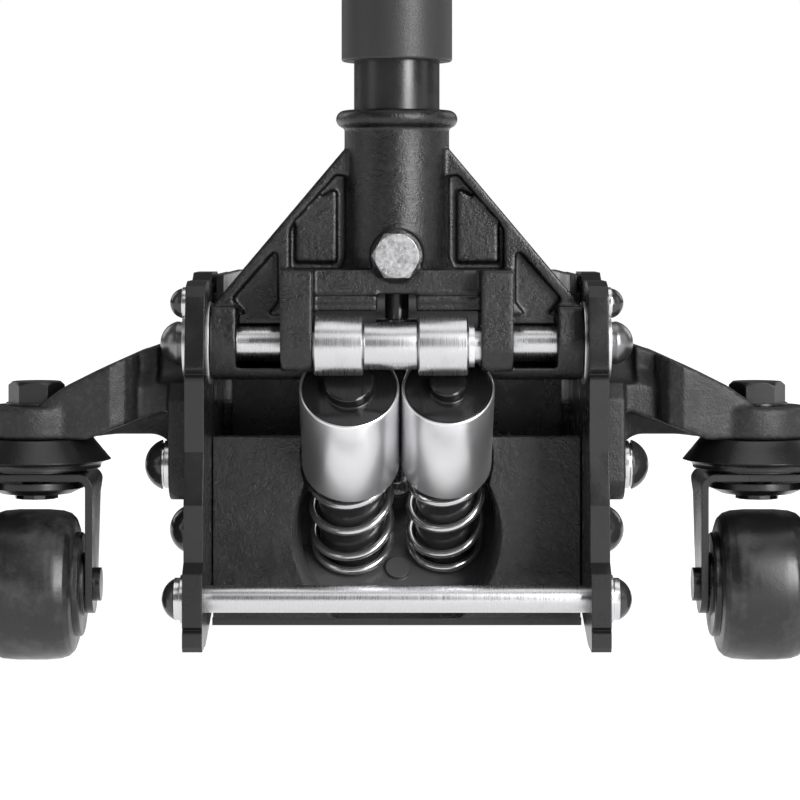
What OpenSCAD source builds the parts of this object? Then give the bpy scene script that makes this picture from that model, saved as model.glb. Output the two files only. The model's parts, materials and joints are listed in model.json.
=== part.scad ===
// Hydraulic trolley jack with a twin-plunger pump, a tubular pump handle,
// a hinged lift arm with a self-levelling saddle, two rear swivel casters
// and two fixed front wheels. Millimetres, +Z up, +Y towards the saddle end,
// origin on the floor under the middle of the overall box.

/* [Frame] */
// Length from the tail of the side plates to the front of the front wheels
frame_len = 690; // [680:1:700]
// Half of the clear width between the side plates
plate_in = 78; // [77.5:0.1:78.5]
// Thickness of each side plate
plate_t = 8; // [6:0.5:9]
// Height of the level top edge of the side plates
plate_h = 157; // [155:1:160]

/* [Handle] */
// Height of the handle pivot above the floor
pivot_z = 131; // [130:0.5:132]
// Distance from the handle pivot back to the roller shaft
roller_arm = 30; // [29.5:0.1:30.5]
// Radius of the two pump rollers
roller_r = 12; // [11.5:0.1:12]
// Outside radius of the handle tubes
tube_r = 17.8; // [17.5:0.1:18]
// Height of the top of the handle above the floor
handle_top = 1160; // [1100:10:1200]

/* [Pump] */
// Angle of the pump plungers below the horizontal
pump_tilt = 40; // [39:0.5:41]
// Length of each chromed spring cover
cover_len = 53; // [50:1:56]

/* [Casters] */
// Sideways distance of each swivel axis from the middle
caster_x = 150.6; // [149:0.1:153]
// Radius of the caster wheels
caster_r = 31; // [30:0.5:31]
// Distance of the caster axle behind its swivel axis
caster_trail = 8; // [6:1:12]

/* [Lift arm] */
// Distance between the arm pivot and the tip pin
arm_len = 348; // [345:1:350]
// Slope of the lowered arm below the horizontal
arm_drop = 8.6; // [8:0.1:9]
// Radius of the saddle
saddle_r = 40; // [36:1:42]

/* [Front wheels] */
// Radius of the front wheels
front_r = 40; // [39:0.5:40]

/* [Hidden] */
$fn = 64;
eps = 0.5;
fit = 0.05;
plate_out = plate_in + plate_t;
tail_y = -frame_len / 2;
pivot_y = tail_y + 45;
roller_y = pivot_y - roller_arm;
pivot_bolt_r = 7.6;
roller_shaft_r = 7;
tie_y = tail_y + 15;
tie_z = 28.4;
tie_r = 5.5;
pocket_d = 3;
screw_z = [148, 53];
screw_y = [tail_y + 27, tail_y + 50];
screw_r = [6.6, 10.4];
screw_h = [7, 9];
arm_bolt = [tail_y + 50, 80];

// Pump unit: a point on the sloping pump seat, then the block and its recess
face_y = tail_y + 72;
face_z = 14;
block_back = tail_y + 60;
block_y = tail_y + 136;
block_top = 90.7;
recess_r = 44.3;
recess_z = 49.8;
up_t = [sin(pump_tilt), cos(pump_tilt)];
up_n = [-cos(pump_tilt), sin(pump_tilt)];
roller_t = (roller_y - face_y) * up_t[0] + (pivot_z - face_z) * up_t[1];
roller_n = (roller_y - face_y) * up_n[0] + (pivot_z - face_z) * up_n[1];
pivot_t = (pivot_y - face_y) * up_t[0] + (pivot_z - face_z) * up_t[1];
pivot_n = (pivot_y - face_y) * up_n[0] + (pivot_z - face_z) * up_n[1];
pump_t = roller_t - 8.5;
head_n = roller_n - roller_r - 0.3;
pump_x = [-19.5, 21];
cover_r = [20.5, 19];
button_r = [10.2, 7.5];
rim_n = head_n - 4.2;
spring_r = [16.6, 15.2];
spring_wire = 3.6;
seat_n = -12.4;
gland_n = -4.5;
barrel_r = [14.2, 12.8];
plunger_r = 9;
spring_turns = 7.1;
spring_start = 100;

// Lift arm, ram and levelling linkage
arm_y = tail_y + 262;
arm_z = 128;
arm_shaft_r = 12;
arm_x = [52, 60];
tip_y = arm_y + arm_len * cos(arm_drop);
tip_z = arm_z - arm_len * sin(arm_drop);
tip_pin_r = 8;
lug_len = 56;
lug_back = 34;
lug_y = arm_y - lug_len * sin(lug_back);
lug_z = arm_z - lug_len * cos(lug_back);
lug_mid_z = arm_z - lug_len;
ram_z = (lug_z + lug_mid_z) / 2;
ram_r = 12;
slot_gap = 1.2;
gland_y = tail_y + 211;
bar_y = tail_y + 156;
bar_z = 30;
level_off = [14, -20];
level_x = [64, 71];
level_pin_r = 5;

// Front wheels and casters
axle_y = tail_y + frame_len - front_r;
axle_r = 8;
front_x = [89, 127];
caster_y = tail_y + 50;
fork_in = 22.3;
fork_t = 3;
fork_top = 77.4;
kingpin_r = 6;

// Handle column
socket_r = 21.8;
socket_top = 224;
socket_floor = 157;
lock_z = 167.5;
joint_z = 660;
button_z = 640;

black = [0.1, 0.1, 0.105];
cast = [0.13, 0.13, 0.135];
steel = [0.66, 0.66, 0.67];
chrome = [0.8, 0.8, 0.81];
dark_steel = [0.25, 0.25, 0.26];
rubber = [0.17, 0.17, 0.175];

// ---------------------------------------------------------------- helpers

// A distance forward of the tail as a Y position
function at(u) = tail_y + u;

// Outline points given as [distance from the tail, height]
function outline(points) = [for (p = points) [at(p[0]), p[1]]];

// Extrudes a (Y, Z) outline from x0 to x1
module slab_x(x0, x1) {
  translate([x0, 0, 0]) rotate([90, 0, 90]) linear_extrude(height = x1 - x0) children();
}

// Extrudes an (X, Z) outline from y0 to y1
module slab_y(y0, y1) {
  translate([0, y1, 0]) rotate([90, 0, 0]) linear_extrude(height = y1 - y0) children();
}

// A round bar along X
module bar_x(x0, x1, y, z, r) {
  translate([x0, y, z]) rotate([0, 90, 0]) cylinder(r = r, h = x1 - x0);
}

// Children drawn on the right side, copied to the left
module both_sides() {
  children();
  mirror([1, 0, 0]) children();
}

// Children drawn for the right side, moved to side s (1 right, -1 left)
module on_side(s) {
  mirror([s < 0 ? 1 : 0, 0, 0]) children();
}

// Local axes of the sloping pump face: X across, Y up the face, Z out of it
module on_face() {
  translate([0, face_y, face_z]) rotate([90 - pump_tilt, 0, 0]) children();
}

// Bar outline between two eyes, its edges a hair inside their tangents
module link(p, q, rp, rq) {
  d = (q - p) / norm(q - p);
  lean = (rp - rq) / norm(q - p);
  n = [-d[1], d[0]] * sqrt(1 - lean * lean);
  above = (n + d * lean) * 0.998;
  below = (d * lean - n) * 0.998;
  translate(p) circle(r = rp);
  translate(q) circle(r = rq);
  polygon([p + above * rp, p + below * rp, q + below * rq, q + above * rq]);
}

// Shallow dome standing on z = 0
module dome(r, h) {
  big = (r * r + h * h) / (2 * h);
  intersection() {
    translate([0, 0, h - big]) sphere(r = big, $fn = 96);
    cylinder(r = r + 1, h = h + 1);
  }
}

// Hexagonal prism by width across flats
module hex(flats, h) {
  cylinder(r = flats / sqrt(3), h = h, $fn = 6);
}

// Hexagon bolt head with a chamfered top
module hex_head(flats, h) {
  intersection() {
    hex(flats, h);
    cylinder(r1 = flats / 2 + h + 1, r2 = flats / 2 - 0.4, h = h + 0.2);
  }
}

// Flat ring
module ring(r_out, r_in, h) {
  difference() {
    cylinder(r = r_out, h = h);
    translate([0, 0, -eps]) cylinder(r = r_in, h = h + 2 * eps);
  }
}

// Height of a coil after t turns, with one closed turn at each end
function coil_z(t, turns, h, wire) =
  t < 1 ? t * wire
  : t > turns - 1 ? h - wire - (turns - t) * wire
  : wire + (t - 1) * (h - 3 * wire) / (turns - 2);

// Round-wire coil standing on z = 0
module coil(r, wire, h, turns, steps, sides) {
  n = round(turns * steps);
  pts = [
    for (i = [0 : n]) let (t = turns * i / n, a = 360 * t)
      for (k = [0 : sides - 1]) let (b = 360 * k / sides, q = r + wire / 2 * cos(b))
        [q * cos(a), q * sin(a), wire / 2 + coil_z(t, turns, h, wire) + wire / 2 * sin(b)]
  ];
  walls = [
    for (i = [0 : n - 1]) for (k = [0 : sides - 1]) let (m = (k + 1) % sides)
      [i * sides + k, i * sides + m, (i + 1) * sides + m, (i + 1) * sides + k]
  ];
  first = [for (k = [sides - 1 : -1 : 0]) k];
  last = [for (k = [0 : sides - 1]) n * sides + k];
  polyhedron(points = pts, faces = concat(walls, [first], [last]), convexity = 10);
}

// ------------------------------------------------------------------ frame

// Profile of a side plate, tall over the pump and tapering to the front axle
module plate_profile() {
  difference() {
    union() {
      polygon(outline([
        [0, 11], [2, 8.7], [22, 8.7], [60, 17], [120, 20], [470, 20], [600, 16], [650, 15],
        [650, 65], [600, 72], [560, 79], [345, 138], [310, 153], [285, plate_h],
        [104, plate_h], [96, plate_h + 3], [64, plate_h + 3], [57, plate_h],
        [28, plate_h], [20, plate_h - 2], [18, plate_h - 6], [12, 122], [14, 119.5], [11.5, 117],
        [13, 88], [8, 67], [8, 44], [1, 40], [0, 19], [1.6, 17.6], [0, 16]
      ]));
      translate([axle_y, 40]) circle(r = 25);
    }
    translate([tie_y, tie_z]) circle(r = tie_r + fit);
    translate([pivot_y, pivot_z]) circle(r = pivot_bolt_r + fit);
    for (i = [0, 1]) translate([screw_y[i], screw_z[i]]) circle(r = 4);
    translate(arm_bolt) circle(r = 5);
    translate([arm_y, arm_z]) circle(r = arm_shaft_r + fit);
    translate([arm_y + level_off[0], arm_z + level_off[1]]) circle(r = level_pin_r + fit);
    translate([axle_y, 40]) circle(r = axle_r + fit);
  }
}

// Stiffening rib welded inside the top edge, with a shadow gap to the plate
module plate_rib() {
  slab_x(plate_in - 4.6, plate_in - 1.6)
    polygon(outline([[64, 146], [66, plate_h + 2], [226, plate_h + 2], [226, 146]]));
  slab_x(plate_in - 1.7, plate_in + 0.1)
    polygon(outline([[70, 147], [70, 151], [226, 151], [226, 147]]));
}

module side_plate(s) {
  color(black) on_side(s) {
    difference() {
      slab_x(plate_in, plate_out) plate_profile();
      slab_x(plate_out - pocket_d, plate_out + 1) {
        link([at(180), 84], [at(225), 70], 24, 18);
        link([at(322), 82], [at(392), 72], 22, 18);
        link([at(442), 62], [at(540), 50], 16, 12);
      }
    }
    plate_rib();
  }
}

module left_side_plate() { side_plate(-1); }
module right_side_plate() { side_plate(1); }

// Dome nut of radius r and height h on a thin washer, around a rod end
module dome_nut(r, h, rod_r) {
  difference() {
    union() {
      cylinder(r = r + 0.8, h = 1.6);
      translate([0, 0, 1.5]) cylinder(r = r - 0.4, h = 2.6);
      translate([0, 0, 3.9]) dome(r - 0.6, h - 3.9);
    }
    translate([0, 0, -eps]) cylinder(r = rod_r + fit, h = 5 + eps);
  }
}

module rear_tie_rod() {
  color(steel) bar_x(-plate_out - 4.8, plate_out + 4.8, tie_y, tie_z, tie_r);
}

module tie_rod_nuts() {
  color(dark_steel) both_sides() translate([plate_out, tie_y, tie_z])
    rotate([0, 90, 0]) dome_nut(9, 9.4, tie_r);
}

// Button-head screws threaded into the plates, small above and large below
module frame_screws() {
  color(dark_steel) both_sides() for (i = [0, 1])
    translate([plate_in + 0.2, screw_y[i], screw_z[i]]) rotate([0, 90, 0]) {
      cylinder(r = 4 - fit, h = plate_t);
      translate([0, 0, plate_t - 0.2]) cylinder(r = screw_r[i], h = 1.6);
      translate([0, 0, plate_t + 1.3]) dome(screw_r[i] - 0.4, screw_h[i] - 1.6);
    }
}

// Bolts that hold the caster arms, each with a bright collar under a dome head
module caster_arm_bolts() {
  color(dark_steel) both_sides() translate([plate_in + 0.2, arm_bolt[0], arm_bolt[1]])
    rotate([0, 90, 0]) {
      cylinder(r = 5 - fit, h = plate_t + 9);
      translate([0, 0, plate_t + 8.3]) cylinder(r = 10, h = 2.4);
      translate([0, 0, plate_t + 10.6]) cylinder(r = 9, h = 1.2);
      translate([0, 0, plate_t + 11.7]) dome(10.4, 7.4);
    }
}

// Shoulder bolts on which the handle yoke turns
module handle_pivot_bolts() {
  color(steel) both_sides() translate([34.4, pivot_y, pivot_z]) rotate([0, 90, 0]) {
    cylinder(r = pivot_bolt_r, h = plate_out + 2.5 - 34.4);
    translate([0, 0, plate_out + 2.5 - 34.4]) cylinder(r = 8.6, h = 2.8);
    translate([0, 0, plate_out + 5.2 - 34.4]) dome(9, 7.2);
  }
}

module pivot_washers() {
  color(chrome) both_sides() {
    translate([plate_out, pivot_y, pivot_z]) rotate([0, 90, 0])
      ring(15.5, pivot_bolt_r + fit, 2.5);
    translate([plate_in - 0.7, pivot_y, pivot_z]) rotate([0, 90, 0])
      ring(17.2, pivot_bolt_r + fit, 0.7);
  }
}

// Pump block: a back flange, a lower body behind it and cheeks on the plates
module power_unit_block() {
  color(cast) difference() {
    union() {
      translate([-plate_in + 0.5, block_back, face_z])
        cube([2 * plate_in - 1, 8, block_top - face_z]);
      translate([-plate_in + 4, block_back + 7, face_z])
        cube([2 * plate_in - 8, block_y - block_back - 7, 82 - face_z]);
      both_sides() translate([plate_in - 5, block_back + 7.5, 20]) cube([5, 60, 60]);
    }
    pump_recess();
    for (i = [0, 1]) on_face() translate([pump_x[i], pump_t, 0]) {
      translate([0, 0, 8]) cylinder(r = cover_r[i] + 0.8, h = 70);
      translate([0, 0, -24.1]) cylinder(r = barrel_r[i] + 0.02, h = 30);
    }
    on_face() translate([0, pivot_t, gland_n - 13.5]) cylinder(r = 5, h = 30);
  }
}

// Round cast recess in the back of the block: sloping floor, plug boss and gland boss
module pump_recess() {
  difference() {
    intersection() {
      translate([0, block_back - 0.01, recess_z]) rotate([-90, 0, 0])
        cylinder(r1 = recess_r, r2 = recess_r - 2.6, h = 68, $fn = 96);
      on_face() translate([-60, -60, seat_n]) cube([120, 200, 120]);
    }
    on_face() translate([0, 0, seat_n - 1]) {
      translate([0.5, 31, 0]) cylinder(r = 5.4, h = 3);
      translate([0, pivot_t, 0]) cylinder(r = 9, h = gland_n - seat_n + 1);
    }
  }
}

// Barrels pressed into the block, bored for the plungers
module pump_barrels() {
  color(dark_steel) on_face() for (i = [0, 1]) translate([pump_x[i], pump_t, -24]) difference() {
    union() {
      cylinder(r = barrel_r[i], h = 74);
      translate([0, 0, 73.9]) cylinder(r1 = barrel_r[i], r2 = barrel_r[i] - 1.6, h = 2);
    }
    translate([0, 0, 4]) cylinder(r = plunger_r + fit, h = 75);
  }
}

// Packing nut around the release stem
module release_valve_gland() {
  color(steel) on_face() translate([0, pivot_t, gland_n - 13]) difference() {
    union() {
      cylinder(r = 5 - fit, h = 14);
      translate([0, 0, 13]) cylinder(r = 8.2, h = 1.4);
      translate([0, 0, 14.3]) hex_head(14, 7);
    }
    translate([0, 0, 2]) cylinder(r = 4 + fit, h = 30);
  }
}

// Oil reservoir in front of the block, with the ram bore along its middle
module reservoir() {
  color(cast) difference() {
    union() {
      translate([-plate_in + 4, block_y, 44]) cube([2 * plate_in - 8, 36, 68]);
      translate([-34, block_y, 44]) cube([68, 60, 60]);
      translate([-30, block_y, 36]) cube([60, 52, 10]);
      both_sides() translate([plate_in - 4.1, block_y + 4, 60]) cube([4.1, 28, 40]);
    }
    translate([0, block_y + 2, ram_z]) rotate([-90, 0, 0]) cylinder(r = ram_r + fit, h = 80);
    translate([0, block_y + 44, ram_z]) rotate([-90, 0, 0]) cylinder(r = 21, h = 40);
    translate([26, block_y + 20, 96]) cylinder(r = 6, h = 30);
  }
}

module filler_plug() {
  color(chrome) translate([26, block_y + 20, 102]) {
    cylinder(r = 6 - fit, h = 11);
    translate([0, 0, 10]) cylinder(r = 9.5, h = 1.5);
    translate([0, 0, 11.4]) hex_head(13, 6);
  }
}

// Screwed gland that guides the ram where it leaves the reservoir
module cylinder_gland() {
  color(steel) translate([0, block_y + 44.05, ram_z]) rotate([-90, 0, 0]) difference() {
    union() {
      cylinder(r = 21 - fit, h = 17);
      translate([0, 0, 16]) cylinder(r = 24, h = gland_y - block_y - 60, $fn = 8);
    }
    translate([0, 0, -eps]) cylinder(r = ram_r + fit, h = 80);
  }
}

// Floor plate under the pump unit
module base_plate() {
  color(black) translate([-plate_in, block_back + 2, face_z - 3]) cube([2 * plate_in, 148, 3]);
}

// Spring anchor bar behind the crosshead and the spreader bar near the front
module cross_bars() {
  color(dark_steel) {
    bar_x(-plate_in, plate_in, bar_y, bar_z, 5);
    bar_x(-plate_in, plate_in, at(560), 36, 8);
  }
}

// --------------------------------------------------- caster arms and casters

// Wing-shaped casting from a flange on the plate out to the swivel boss
module caster_arm(s) {
  top = 104.9;
  low = 91.4;
  color(cast) on_side(s) difference() {
    union() {
      slab_x(plate_out, plate_out + 8.5) difference() {
        union() {
          polygon(outline([
            [34, 74], [34, 108], [52, 134], [112, 134], [124, 120], [124, 84], [106, 66],
            [42, 66]
          ]));
          translate([at(44), 76]) circle(r = 10);
        }
        translate(arm_bolt) circle(r = 5);
      }
      intersection() {
        slab_y(at(20), at(130)) polygon([
          [plate_out + 6, 134], [101, 129.4], [111, 125.8], [124, 120], [136, 114],
          [145, 108], [caster_x - 1, top], [caster_x, low], [128, low],
          [115.5, 96.4], [107, 99.3], [plate_out, 104]
        ]);
        linear_extrude(height = 140) polygon([
          [caster_x - 4, at(34)], [118, at(30)], [112, at(32)], [109, at(36)], [108.2, at(41)],
          [108.2, at(121)], [122, at(86)], [caster_x - 2, at(68)]
        ]);
      }
      // Recessed root of the wing: dark ridge, a facet facing up, then a deep lower wall
      hull() {
        slab_x(plate_out, plate_out + 1)
          polygon(outline([[42, 106], [42, 118], [52, 124], [112, 124], [112, 106]]));
        slab_x(107.5, 108.5)
          polygon(outline([[42, 99.2], [42, 112], [52, 118.5], [108, 118.5], [108, 99.2]]));
      }
      hull() {
        slab_x(plate_out, plate_out + 1)
          polygon(outline([[52, 112], [52, 134], [100, 134], [100, 112]]));
        slab_x(107.5, 108.5)
          polygon(outline([[52, 106], [52, 126.8], [90, 126.8], [90, 106]]));
      }
      slab_y(at(62), at(72)) difference() {
        polygon([
          [plate_out, 72], [plate_out, 108], [115, 98], [130, 93], [130, 90.4],
          [118, 91.7], [102, 91.7], [plate_out + 9, 84], [plate_out + 8, 72]
        ]);
        translate([plate_out + 17, 83]) circle(r = 8.4);
      }
      translate([caster_x, caster_y, low]) cylinder(r = 21, h = top - low);
    }
    translate([caster_x, caster_y, low - 30]) cylinder(r = kingpin_r + fit, h = 80);
    translate([caster_x, caster_y, top]) cylinder(r = 14, h = 40);
    translate([plate_out + 4, arm_bolt[0], arm_bolt[1]]) rotate([0, 90, 0])
      translate([0, 0, 4.5]) cylinder(r = 12, h = 6);
    translate([plate_out, pivot_y, pivot_z]) rotate([0, 90, 0]) cylinder(r = 17, h = 14);
  }
}

module left_caster_arm() { caster_arm(-1); }
module right_caster_arm() { caster_arm(1); }

// Fixed upper race with its dust skirt, under each boss
module caster_races() {
  color(black) both_sides() translate([caster_x, caster_y, 0]) difference() {
    union() {
      translate([0, 0, 82.3]) cylinder(r1 = 31, r2 = 23.5, h = 9.1);
      translate([0, 0, 81.2]) cylinder(r1 = 27.6, r2 = 31, h = 1.2);
      translate([0, 0, 78.8]) cylinder(r = 26.8, h = 2.5);
      translate([0, 0, 77.8]) cylinder(r = 22, h = 2);
    }
    translate([0, 0, 70]) cylinder(r = kingpin_r + fit, h = 30);
  }
}

// Kingpin bolt: hex head and washer above, dished washer and nut below
module caster_kingpins() {
  color(black) both_sides() translate([caster_x, caster_y, 0]) {
    translate([0, 0, 66]) cylinder(r = kingpin_r, h = 40);
    translate([0, 0, 104.9]) cylinder(r = 12.6, h = 1.2);
    translate([0, 0, 106]) hex_head(20.5, 8.8);
    translate([0, 0, 66]) cylinder(r = 9, h = 2.4, $fn = 12);
    translate([0, 0, 68.3]) cylinder(r1 = 15, r2 = 20, h = 2.4);
    translate([0, 0, 70.6]) cylinder(r = 20, h = 2.8);
  }
}

// Pressed fork that swivels on the kingpin, with its riveted axle
module caster_fork(s) {
  axle_at = caster_y - caster_trail;
  out = fork_in + fork_t;
  bend = 6;
  color(black) on_side(s) {
    difference() {
      intersection() {
        slab_y(caster_y - 19, caster_y + 24) difference() {
          union() {
            translate([caster_x - out, 15]) square([2 * out, fork_top - bend - 15]);
            translate([caster_x - out + bend, 60]) square([2 * (out - bend), fork_top - 60]);
            for (x = [-1, 1]) translate([caster_x + x * (out - bend), fork_top - bend])
              circle(r = bend);
          }
          translate([caster_x - fork_in, 0]) square([2 * fork_in, fork_top - bend]);
          translate([caster_x - out + bend, 0]) square([2 * (out - bend), fork_top - fork_t]);
          for (x = [-1, 1]) translate([caster_x + x * (out - bend), fork_top - bend])
            circle(r = bend - fork_t);
        }
        slab_x(caster_x - 30, caster_x + 30) {
          polygon([
            [caster_y - 19, fork_top + 1], [caster_y + 24, fork_top + 1],
            [caster_y + 24, fork_top - 4], [caster_y + 14, fork_top - 10],
            [axle_at + 12, caster_r], [axle_at - 12, caster_r], [caster_y - 19, 60]
          ]);
          translate([axle_at, caster_r]) circle(r = 12);
        }
      }
      translate([caster_x, caster_y, 60]) cylinder(r = kingpin_r + fit, h = 30);
    }
    bar_x(caster_x - out - 0.1, caster_x + out + 0.1, axle_at, caster_r, 5);
    bar_x(caster_x - out - 2.6, caster_x - out + 0.1, axle_at, caster_r, 6.9);
    bar_x(caster_x + out - 0.1, caster_x + out + 2.6, axle_at, caster_r, 6.9);
  }
}

module left_caster_fork() { caster_fork(-1); }
module right_caster_fork() { caster_fork(1); }

// Moulded wheel: crowned tread, stepped hub and a through bore
module caster_wheel(s) {
  h = 18;
  color(rubber) on_side(s) translate([caster_x, caster_y - caster_trail, caster_r])
    rotate([0, 90, 0]) rotate_extrude($fn = 96) polygon([
      [5 + fit, -21.8], [12.5, -21.8], [13, -21.3], [13, -20.6], [20.8, -20.6], [21.5, -19.9],
      [21.5, -h], [caster_r - 6, -h], [caster_r - 3.4, -h + 0.9], [caster_r - 1.5, -h + 2.9],
      [caster_r - 0.5, -h + 6], [caster_r, -6], [caster_r, 6], [caster_r - 0.5, h - 6],
      [caster_r - 1.5, h - 2.9], [caster_r - 3.4, h - 0.9], [caster_r - 6, h], [21.5, h],
      [21.5, 19.9], [20.8, 20.6], [13, 20.6], [13, 21.3], [12.5, 21.8], [5 + fit, 21.8]
    ]);
}

module left_caster_wheel() { caster_wheel(-1); }
module right_caster_wheel() { caster_wheel(1); }

// ------------------------------------------------------------- front wheels

module front_axle() {
  color(steel) bar_x(-front_x[1] - 8, front_x[1] + 8, axle_y, 40, axle_r);
}

module arm_pivot_shaft() {
  color(steel) {
    bar_x(-plate_out, plate_out, arm_y, arm_z, arm_shaft_r);
    bar_x(-plate_out - 10, plate_out + 10, arm_y, arm_z, axle_r);
  }
}

// Washer-faced nuts on both ends of the front axle and of the arm pivot shaft
module axle_nuts() {
  color(dark_steel) both_sides() {
    for (p = [[front_x[1] + 0.6, axle_y, 40], [plate_out, arm_y, arm_z]])
      translate(p) rotate([0, 90, 0]) difference() {
        union() {
          cylinder(r = 14, h = 2);
          translate([0, 0, 1.9]) hex_head(22, 8);
        }
        translate([0, 0, -eps]) cylinder(r = axle_r + fit, h = 20);
      }
    translate([plate_out, axle_y, 40]) rotate([0, 90, 0])
      ring(12, axle_r + fit, front_x[0] - plate_out - 0.5);
  }
}

module front_wheel(s) {
  w = front_x[1] - front_x[0];
  color(rubber) on_side(s) translate([front_x[0], axle_y, 40]) rotate([0, 90, 0])
    rotate_extrude($fn = 96) polygon([
      [axle_r + fit, 0], [15, 0], [15, 3], [front_r - 10, 3], [front_r - 8, 0],
      [front_r - 2, 0], [front_r, 2], [front_r, w - 2], [front_r - 2, w],
      [front_r - 8, w], [front_r - 10, w - 3], [15, w - 3], [15, w], [axle_r + fit, w]
    ]);
}

module left_front_wheel() { front_wheel(-1); }
module right_front_wheel() { front_wheel(1); }

// -------------------------------------------------------------- handle yoke

// Inner lug: a leg down to the roller shaft, a leg down to the pivot, a bridge above
module inner_lug() {
  difference() {
    union() {
      translate([roller_y, pivot_z]) circle(r = 10.5);
      translate([roller_y - 10.5, pivot_z]) square([21, 29]);
      translate([pivot_y, pivot_z]) circle(r = 12.8);
      translate([pivot_y - 11, pivot_z]) square([24, 29]);
      polygon([
        [roller_y - 10.5, pivot_z + 12], [roller_y - 10.5, 160.6], [roller_y - 9.3, 161.8],
        [pivot_y + 13, 161.8], [pivot_y + 13, pivot_z + 12]
      ]);
    }
    translate([roller_y, pivot_z]) circle(r = roller_shaft_r);
  }
}

// Half of the triangular web: thick frame, two pockets, thin panel and raised pad
module yoke_web() {
  foot = [76.6, 146.4];
  head = [socket_r, 211.4];
  slab_y(pivot_y - 9, pivot_y + 9) difference() {
    polygon([head, foot, [76.6, 143], [44, 143], [44, 160], [10, 160], [10, 211.4]]);
    offset(r = 1.4) offset(delta = -1.4)
      polygon([[15, 200], [25.4, 201], [42.6, 181.4], [44.4, 178], [44.4, 161.5], [15, 161.5]]);
    offset(r = 1.4) offset(delta = -1.4) polygon([
      [49, 168.8], [51.4, 168.8], [68.2, 149.6], [63.6, 144], [63.6, 140], [52.2, 140],
      [52.2, 144], [49, 148]
    ]);
  }
  slab_y(pivot_y - 3, pivot_y + 6)
    polygon([[15, 206], [25, 206], [73, 150], [66, 139], [48, 139], [44, 158], [15, 158]]);
  slab_y(pivot_y - 5, pivot_y)
    offset(r = 1) offset(delta = -1)
      polygon([[25, 164.6], [42, 164.6], [42, 180.3], [32, 191.8], [25, 195]]);
}

module handle_yoke() {
  color(cast) difference() {
    union() {
      translate([0, pivot_y, 152]) cylinder(r = socket_r, h = socket_top - 152);
      translate([0, pivot_y, 161.7]) cylinder(r1 = socket_r + 2.1, r2 = socket_r, h = 4.5);
      translate([0, pivot_y, socket_top]) rotate_extrude() {
        translate([socket_r - 0.2, 0]) circle(r = 3.7);
        translate([socket_r - 4.6, -3.7]) square([4, 7.4]);
      }
      translate([-34.5, pivot_y - 24, 151.8]) cube([69, 44, 10]);
      both_sides() {
        translate([8, pivot_y - 26.5, 148.6]) cube([26.2, 20, 2.6]);
        translate([8, pivot_y - 24.5, 150.5]) cube([26.2, 18, 2]);
        translate([8, pivot_y - 26, 144.9]) cube([26.2, 20, 2.6]);
        translate([8, pivot_y - 23, 147]) cube([26.2, 17, 2]);
        slab_x(34, 47) inner_lug();
        bar_x(36.3, 47, pivot_y, pivot_z, 15.3);
        yoke_web();
        slab_x(66, plate_in - 1) {
          translate([pivot_y, pivot_z]) circle(r = 15.3);
          polygon([
            [pivot_y - 15.3, pivot_z], [pivot_y - 13.5, 143], [pivot_y - 13.5, 144.6],
            [pivot_y - 12.5, 146.4], [pivot_y + 12, 146.4], [pivot_y + 15.3, pivot_z]
          ]);
        }
        pivot_trough();
      }
      translate([0, pivot_y - 18, lock_z]) rotate([90, 0, 0]) cylinder(r = 10.8, h = 5);
    }
    both_sides() bar_x(30, plate_out, pivot_y, pivot_z, pivot_bolt_r + fit);
    translate([0, pivot_y, socket_floor]) cylinder(r = tube_r + fit, h = 100);
    translate([0, pivot_y, 140]) cylinder(r = 10, h = 13.5);
    translate([0, pivot_y, 140]) cylinder(r = 5.6, h = 30);
    translate([0, pivot_y - 10, lock_z]) rotate([90, 0, 0]) cylinder(r = 5.9, h = 30);
    translate([0, pivot_y - 23, lock_z]) rotate([90, 0, 0]) cylinder(r = 11.2, h = 12);
  }
}

// Trough under the shaft and along its forward side, between the inner and outer lugs
module pivot_trough() {
  slab_x(46, 67) difference() {
    translate([pivot_y, pivot_z]) circle(r = 15.3);
    translate([pivot_y, pivot_z]) circle(r = 11.6);
    translate([pivot_y - 20, pivot_z - 10]) square([20, 40]);
  }
}

module roller_shaft() {
  color(steel) bar_x(-47, 47, roller_y, pivot_z, roller_shaft_r);
}

module roller_spacer() {
  color(steel) translate([-13.3, roller_y, pivot_z]) rotate([0, 90, 0])
    ring(9.6, roller_shaft_r + fit, 21.6);
}

// Split retaining ring beside the right roller
module shaft_clip() {
  color(chrome) translate([29.2, roller_y, pivot_z]) rotate([0, 90, 0]) {
    difference() {
      ring(8.6, roller_shaft_r, 2.2);
      translate([-12, -1.5, -eps]) cube([8, 3, 4]);
    }
  }
}

module roller(x0, x1) {
  color(chrome) translate([x0, roller_y, pivot_z]) rotate([0, 90, 0]) rotate_extrude($fn = 96)
    polygon([
      [roller_shaft_r + fit, 0], [roller_r - 0.6, 0], [roller_r, 0.6],
      [roller_r, x1 - x0 - 0.6], [roller_r - 0.6, x1 - x0], [roller_shaft_r + fit, x1 - x0]
    ]);
}

module left_roller() { roller(-33.6, -13.6); }
module right_roller() { roller(8.6, 28.8); }

// Locking bolt whose plain tip runs in the groove of the handle tube
module lock_bolt() {
  color(chrome) translate([0, pivot_y, lock_z]) rotate([90, 0, 0]) {
    translate([0, 0, 16.8]) cylinder(r = 4, h = 3);
    translate([0, 0, 18.6]) cylinder(r = 5.9 - fit, h = 5);
    translate([0, 0, 23.05]) cylinder(r = 9, h = 0.8);
    translate([0, 0, 23.8]) hex_head(18, 7.4);
  }
}

// ------------------------------------------------------------------- handle

module handle_lower_tube() {
  color(black) difference() {
    translate([0, pivot_y, socket_floor + 0.3]) ring(tube_r, tube_r - 2.5, joint_z - socket_floor - 0.3);
    translate([0, pivot_y, lock_z - 4.6]) ring(tube_r + 2, tube_r - 1.5, 9.2);
    translate([0, pivot_y - 10, button_z]) rotate([90, 0, 0]) cylinder(r = 4.3, h = 20);
  }
}

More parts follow.
